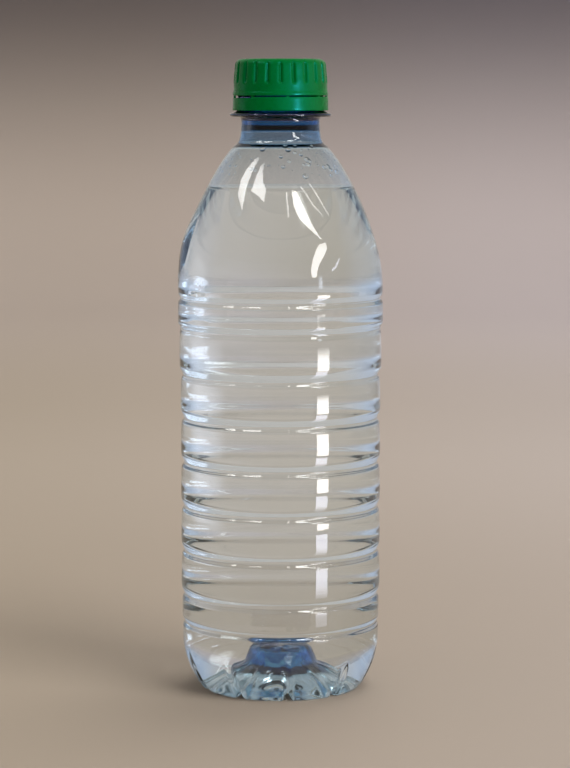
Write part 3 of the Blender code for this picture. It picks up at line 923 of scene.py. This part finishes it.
def makePaint():
    made, tree, shader = newMaterial("sweepPaintedLight", paints["near"], Roughness=0.9, Specular_IOR_Level=0.0)
    x, y, height = addNode(tree, "ShaderNodeSeparateXYZ", objectPlace(tree)).outputs
    distance = calc(tree, "SQRT", calc(tree, "ADD", product(tree, x, x), product(tree, y, y)))

    def fade(value, low, high):
        return ramp(tree, value, low, high, interpolation_type="SMOOTHSTEP")

    colour = (*paints["near"], 1.0)
    # painted light and shade: the floor darker near the bottle, lighter farther out and at the bend, the wall
    # darker towards the top, lighter above
    for value, low, high, name in (
        (distance, 0.08, 0.6, "far"), (distance, 0.75, 1.6, "bend"), (height, 0.05, 0.33, "dim"),
        (height, 0.34, 0.55, "high"),
    ):
        colour = mixColours(tree, fade(value, low, high), colour, (*paints[name], 1.0))
    # painted cool daylight falling on the right side
    colour = mixColours(tree, fade(x, -0.2, 0.25), colour, (*paints["coolLight"], 1.0), "MULTIPLY")
    wire(tree, shader.inputs["Base Color"], colour)
    return made


def makeStage():
    s = stageShape
    outline = [(0.0, 0.0)] + [(radius, 0.0) for radius in s["rings"]]
    outline += arcRun((s["floorRadius"], s["bend"]), s["bend"], -90, 0, 16)
    outline.append((s["floorRadius"] + s["bend"], s["wallHeight"]))
    piece = turnedMesh("studioSweep", outline, evenStations(s["stations"]))
    clothe(piece, makePaint())
    piece.data.flip_normals()


# azimuth is seen from the bottle, 0 towards the camera and 90 to its right; angles in degrees
daylight = (1.0, 0.99, 0.97)
skylight = (0.58, 0.73, 1.0)
lamps = {
    "softKey": {"azimuth": 46, "rise": 42, "spread": 30, "reach": 1.9, "glow": 4.6},
    "softFill": {"azimuth": 155, "rise": 66, "spread": 30, "reach": 1.9, "glow": 3.0},
}
lampAim = Vector((0.0, 0.0, 0.11))


def towards(azimuth, rise):
    azimuth, rise = math.radians(azimuth), math.radians(rise)
    return Vector((math.sin(azimuth) * math.cos(rise), -math.cos(azimuth) * math.cos(rise), math.sin(rise)))


def makeLamp(name, lamp):
    away = towards(lamp["azimuth"], lamp["rise"])
    data = bpy.data.lights.new(name, "AREA")
    data.shape = "SQUARE"
    data.size = 2 * lamp["reach"] * math.tan(math.radians(lamp["spread"] / 2))
    data.energy = lamp["glow"] * math.pi * data.size**2
    data.color = daylight
    made = addObject(name, data)
    made.location = lampAim + away * lamp["reach"]
    made.rotation_euler = (-away).to_track_quat("-Z", "Y").to_euler()
    made.visible_camera = False
    made.visible_glossy = False
    made.visible_transmission = False


def curtain(azimuths, top, foot, share=1.0):  # a strip's rows along a run of azimuths
    tops = top if isinstance(top, tuple) else [top] * len(azimuths)
    shares = share if isinstance(share, tuple) else [share] * len(azimuths)
    return tuple((azimuth, high, azimuth, foot, part) for azimuth, high, part in zip(azimuths, tops, shares))


def layers(left, right, *rises, shares=(1.0,) * 4):  # a strip's rows one above another
    return tuple((left, rise, right, rise, share) for rise, share in zip(rises, shares))


skyRises, skyShares = (34, 14, 4, -5), (0.3, 0.8, 1.0, 1.0)
skySide = {"glow": 0.78, "reach": 1.3, "soft": (0.4, 0.2), "for": "sharp", "colour": skylight}
behind = (100, 120, 150, 180, 210, 240, 260)

# glowing strips that the plastic mirrors and bends; a row runs across a strip from one (azimuth, rise)
# to another and may end with its share of the glow; "soft" is how far the sides and the ends fade;
# "reach" is in metres, 1.6 if left out; "for" names the only rays that see a strip: mirrored ones,
# ones gone through, ones off the moulded plastic (rough), ones off clear walls (sharp), or those
# that reach the floor through the bottle (bounced)
panes = {
    "paneLeft": {"glow": 10.0, "soft": (0.08, 0.02), "for": "mirrored", "rows": (
        (-74, 62, -71, 62, 0.15), (-80, 57, -69, 56, 0.9), (-85, 49, -66, 46), (-86, 44, -62, 41),
        (-80, 40, -61, 38.5, 0.7),
    )},
    "paneBeside": {"glow": 10.0, "soft": (0.1, 0.02), "for": "mirrored", "rows": (
        (-50, 63, -47, 63, 0.1), (-57, 58, -46, 58, 0.8), (-58, 52.5, -36, 53), (-58, 51, -27, 51.5),
        (-58, 46.3, -27, 46.3),
    )},
    "paneHigh": {"glow": 12.0, "soft": (0.05, 0.02), "for": "mirrored", "rows": (
        (21, 52, 31, 51, 0.9), (23, 45.5, 39, 44), (29, 40.5, 43.5, 39), (39, 36, 48.5, 34.8),
        (47, 32.4, 52, 31.6), (54.5, 29.3, 55.5, 29, 0.9),
    )},
    "highThrough": {"glow": 4.5, "soft": (0.3, 0.25), "for": "through", "rows": (
        (18, 54, 36, 53), (28, 35, 50, 34),
    )},
    "paneNarrow": {"glow": 11.0, "soft": (0.2, 0.02), "for": "mirrored", "rows": (
        (10, 52, 13.5, 52, 0.8), (10.5, 42, 14, 42, 0.5),
    )},
    "slitInner": {"glow": 7.0, "soft": (0.2, 0.02), "for": "mirrored", "rows": (
        (40, 51, 42, 51.4), (54, 41.6, 56, 42.4), (65.5, 35.6, 67, 36.2, 0.5),
    )},
    "slitOuter": {"glow": 7.0, "soft": (0.2, 0.02), "for": "mirrored", "rows": (
        (59, 49, 61, 49.3), (69, 39.7, 71, 40.3), (75, 33.8, 76.5, 34.2, 0.6),
    )},
    "paneMiddle": {"glow": 12.0, "soft": (0.06, 0.02), "for": "mirrored", "rows": (
        (50, 28.3, 60, 27.6, 0.8), (44.5, 26.6, 59.5, 24.6), (38.5, 22.6, 53, 22),
        (35.5, 18, 46.5, 19), (34.5, 13.5, 42, 14), (35.5, 9.6, 41, 10),
    )},
    "paneSmall": {"glow": 4.0, "soft": (0.2, 0.02), "colour": (0.85, 0.86, 1.0), "rows": (
        (72, 19, 74, 18.3, 0.7), (65, 15.6, 67, 14.3), (60.5, 14.5, 61, 12.6),
    )},
    "paneLow": {
        "glow": 14.0, "reach": 0.6, "soft": (0.02, 0.04), "for": "mirrored",
        "rows": layers(41, 55.5, -2.8, -4.2, -9.6, shares=(0.0, 1.0, 1.0)),
    },
    "paneSide": {
        "glow": 1.25, "reach": 0.85, "soft": (0.35, 0.35), "colour": (0.8, 0.86, 1.0),
        "rows": layers(-119, -90, 14, -8),
    },
    "paneThrough": {
        "glow": 5.0, "reach": 0.6, "soft": (0.35, 0.25), "for": "through",
        "colour": (0.84, 0.88, 1.0), "rows": layers(41, 47.5, 13, -0.5),
    },
    "glintRight": {
        "glow": 300.0, "soft": (0.4, 0.35), "for": "rough", "colour": (0.8, 0.9, 1.0),
        "rows": layers(35.5, 47.5, 3.5, -7),
    },
    "glowRight": {
        "glow": 3.0, "reach": 1.2, "soft": (0.3, 0.25), "for": "rough",
        "rows": curtain((-25, 10, 45, 80, 115), 35, -25, (1.0, 1.0, 1.0, 0.8, 0.5)),
    },
    "roomFront": {
        "glow": 0.3, "reach": 1.98, "soft": (0.4, 0.12), "colour": (1.0, 0.98, 0.96),
        "rows": curtain(
            (-105, -85, -65, -40, -20, 0, 20, 40, 65, 85, 105),
            (56, 58, 60, 62, 62, 62, 62, 62, 60, 58, 56), -5,
        ),
    },
    "veilBack": {
        "glow": 0.9, "reach": 0.12, "soft": (0.22, 0.2), "for": "through",
        "colour": (1.0, 0.95, 0.9), "rows": curtain(range(100, 261, 20), 40, -60, 0.17),
    },
    "glowSide": {
        "glow": 1.9, "reach": 0.42, "soft": (0.4, 0.3), "colour": (0.86, 0.89, 1.0),
        "rows": layers(-128, -60, 0, -14),
    },
    "skyLeft": {**skySide, "rows": layers(-165, -72, *skyRises, shares=skyShares)},
    "skyRight": {**skySide, "rows": layers(165, 72, *skyRises, shares=skyShares)},
    "skyBack": {
        "glow": 0.52, "reach": 1.9, "soft": (0.02, 0.1), "colour": (1.0, 0.92, 0.86),
        "rows": curtain(behind, 30, 1.5),
    },
    "skyUnder": {
        "glow": 0.5, "reach": 1.9, "soft": (0.12, 0.1), "colour": (1.0, 0.96, 0.94),
        "rows": curtain(behind, 1, -2.6),
    },
    "throughGlow": {
        "glow": 14.0, "reach": 1.5, "soft": (0.1, 0.1), "for": "bounced",
        "rows": layers(20, 50, 52, 30),
    },
}
# the window's light lying on the floor in front of paneLow
sheen = {"apex": (0.0026, -0.0203), "azimuth": 48.25, "wide": 14.5, "glow": 10.0, "soft": (0.02, 0.02),
         "for": "mirrored", "colour": (0.84, 0.86, 1.0), "reaches": ((0.58, 1.0), (0.3, 1.0), (0.1, 0.15))}


def makeSoftPane():  # 1 inside a strip, fading to 0 at its sides and ends, times the row's own share
    tree, enter, leave = startTree(
        "softPane",
        {"Place": Vector((0.0, 0.0, 0.0)), "Row Glow": 1.0, "Soft Side": 0.1, "Soft End": 0.1},
        {"Share": 0.0}, "ShaderNodeTree",
    )
    across, along, _ = addNode(tree, "ShaderNodeSeparateXYZ", enter["Place"]).outputs
    total = enter["Row Glow"]
    for value, soft in ((across, enter["Soft Side"]), (along, enter["Soft End"])):
        inside = calc(tree, "MINIMUM", value, minus(tree, 1.0, value))
        total = product(tree, total, ramp(tree, inside, 0.0, soft, interpolation_type="SMOOTHSTEP"))
    wire(tree, leave["Share"], total)
    return tree


softPane = makeSoftPane()


def makeStrip(name, rows, pane):  # rows of (left corner, right corner, share of the glow)
    corners = [corner for row in rows for corner in row[:2]]
    mesh = bpy.data.meshes.new(name)
    mesh.from_pydata(corners, [], [(2 * i, 2 * i + 1, 2 * i + 3, 2 * i + 2) for i in range(len(rows) - 1)])
    field = mesh.attributes.new("rowGlow", "FLOAT", "POINT")
    field.data.foreach_set("value", [row[2] for row in rows for _ in (0, 1)])
    layer = mesh.uv_layers.new(name="pane")
    for loop in mesh.loops:
        row, side = divmod(loop.vertex_index, 2)
        layer.data[loop.index].uv = (side, row / (len(rows) - 1))
    made = bpy.data.materials.new(name)
    made.use_nodes = True
    tree = made.node_tree
    tree.nodes.remove(tree.nodes["Principled BSDF"])
    place = result(tree, "ShaderNodeUVMap", uv_map="pane")
    own = addNode(tree, "ShaderNodeAttribute", attribute_name="rowGlow").outputs["Fac"]
    side, end = pane["soft"]
    soft = useTree(tree, softPane, Place=place, Row_Glow=own, Soft_Side=side, Soft_End=end)
    share, seer = soft.outputs["Share"], pane.get("for")
    if seer == "bounced":
        bounces = addNode(tree, "ShaderNodeLightPath").outputs["Diffuse Depth"]
        share = product(tree, share, calc(tree, "GREATER_THAN", bounces, 0.5))
    elif seer in ("sharp", "rough"):
        sharp = addNode(tree, "ShaderNodeLightPath").outputs["Is Singular Ray"]
        share = product(tree, share, sharp if seer == "sharp" else minus(tree, 1.0, sharp))
    glow = (*pane.get("colour", daylight), 1.0)
    light = result(tree, "ShaderNodeEmission", glow, pane["glow"])
    clear = result(tree, "ShaderNodeBsdfTransparent")
    mixed = result(tree, "ShaderNodeMixShader", share, clear, light)
    tree.links.new(mixed, tree.nodes["Material Output"].inputs["Surface"])
    mesh.materials.append(made)
    piece = addObject(name, mesh)
    piece.visible_camera = False
    piece.visible_diffuse = False
    piece.visible_shadow = False
    piece.visible_transmission = seer not in ("mirrored", "rough")
    piece.visible_glossy = seer != "through"


def makePane(name, pane):
    reach = pane.get("reach", 1.6)
    rows = []
    for row in pane["rows"]:
        left, right = (lampAim + reach * towards(*corner) for corner in (row[:2], row[2:4]))
        rows.append((left, right, (*row, 1.0)[4]))
    makeStrip(name, rows, pane)


def makeSheen():
    apex = Vector((*sheen["apex"], 0.002))
    left, right = (towards(sheen["azimuth"] + sheen["wide"] * side / 2, 0.0) for side in (-1, 1))
    rows = [(apex + reach * left, apex + reach * right, share) for reach, share in sheen["reaches"]]
    makeStrip("floorSheen", rows, sheen)


roomLight = {"colour": (0.97, 0.98, 1.0), "strength": 0.42}


def makeWorld():
    world = bpy.data.worlds.new("softRoom")
    world.use_nodes = True
    sky = world.node_tree.nodes["Background"]
    sky.inputs["Color"].default_value = (*roomLight["colour"], 1.0)
    sky.inputs["Strength"].default_value = roomLight["strength"]
    bpy.context.scene.world = world


# focal length for a 36 mm sensor on the long side; distances in metres, angles in degrees
view = {"lens": 125.95, "eye": 0.1945, "distance": 0.8744, "pitch": -6.18, "yaw": -0.096}


def makeCamera():
    data = bpy.data.cameras.new("camera")
    data.lens = view["lens"]
    data.sensor_width = 36
    data.clip_end = 20
    made = addObject("camera", data)
    made.location = (0.0, -view["distance"], view["eye"])
    made.rotation_euler = (math.radians(90 + view["pitch"]), 0.0, math.radians(view["yaw"]))
    bpy.context.scene.camera = made


makeStage()
for name, lamp in lamps.items():
    makeLamp(name, lamp)
for name, pane in panes.items():
    makePane(name, pane)
makeSheen()
makeWorld()
makeCamera()

settings = bpy.context.scene
settings.view_settings.view_transform = "Standard"
settings.cycles.max_bounces = 32
settings.cycles.transmission_bounces = 32
settings.cycles.glossy_bounces = 8
settings.cycles.use_denoising = True
print("stage, lamps and camera ready")
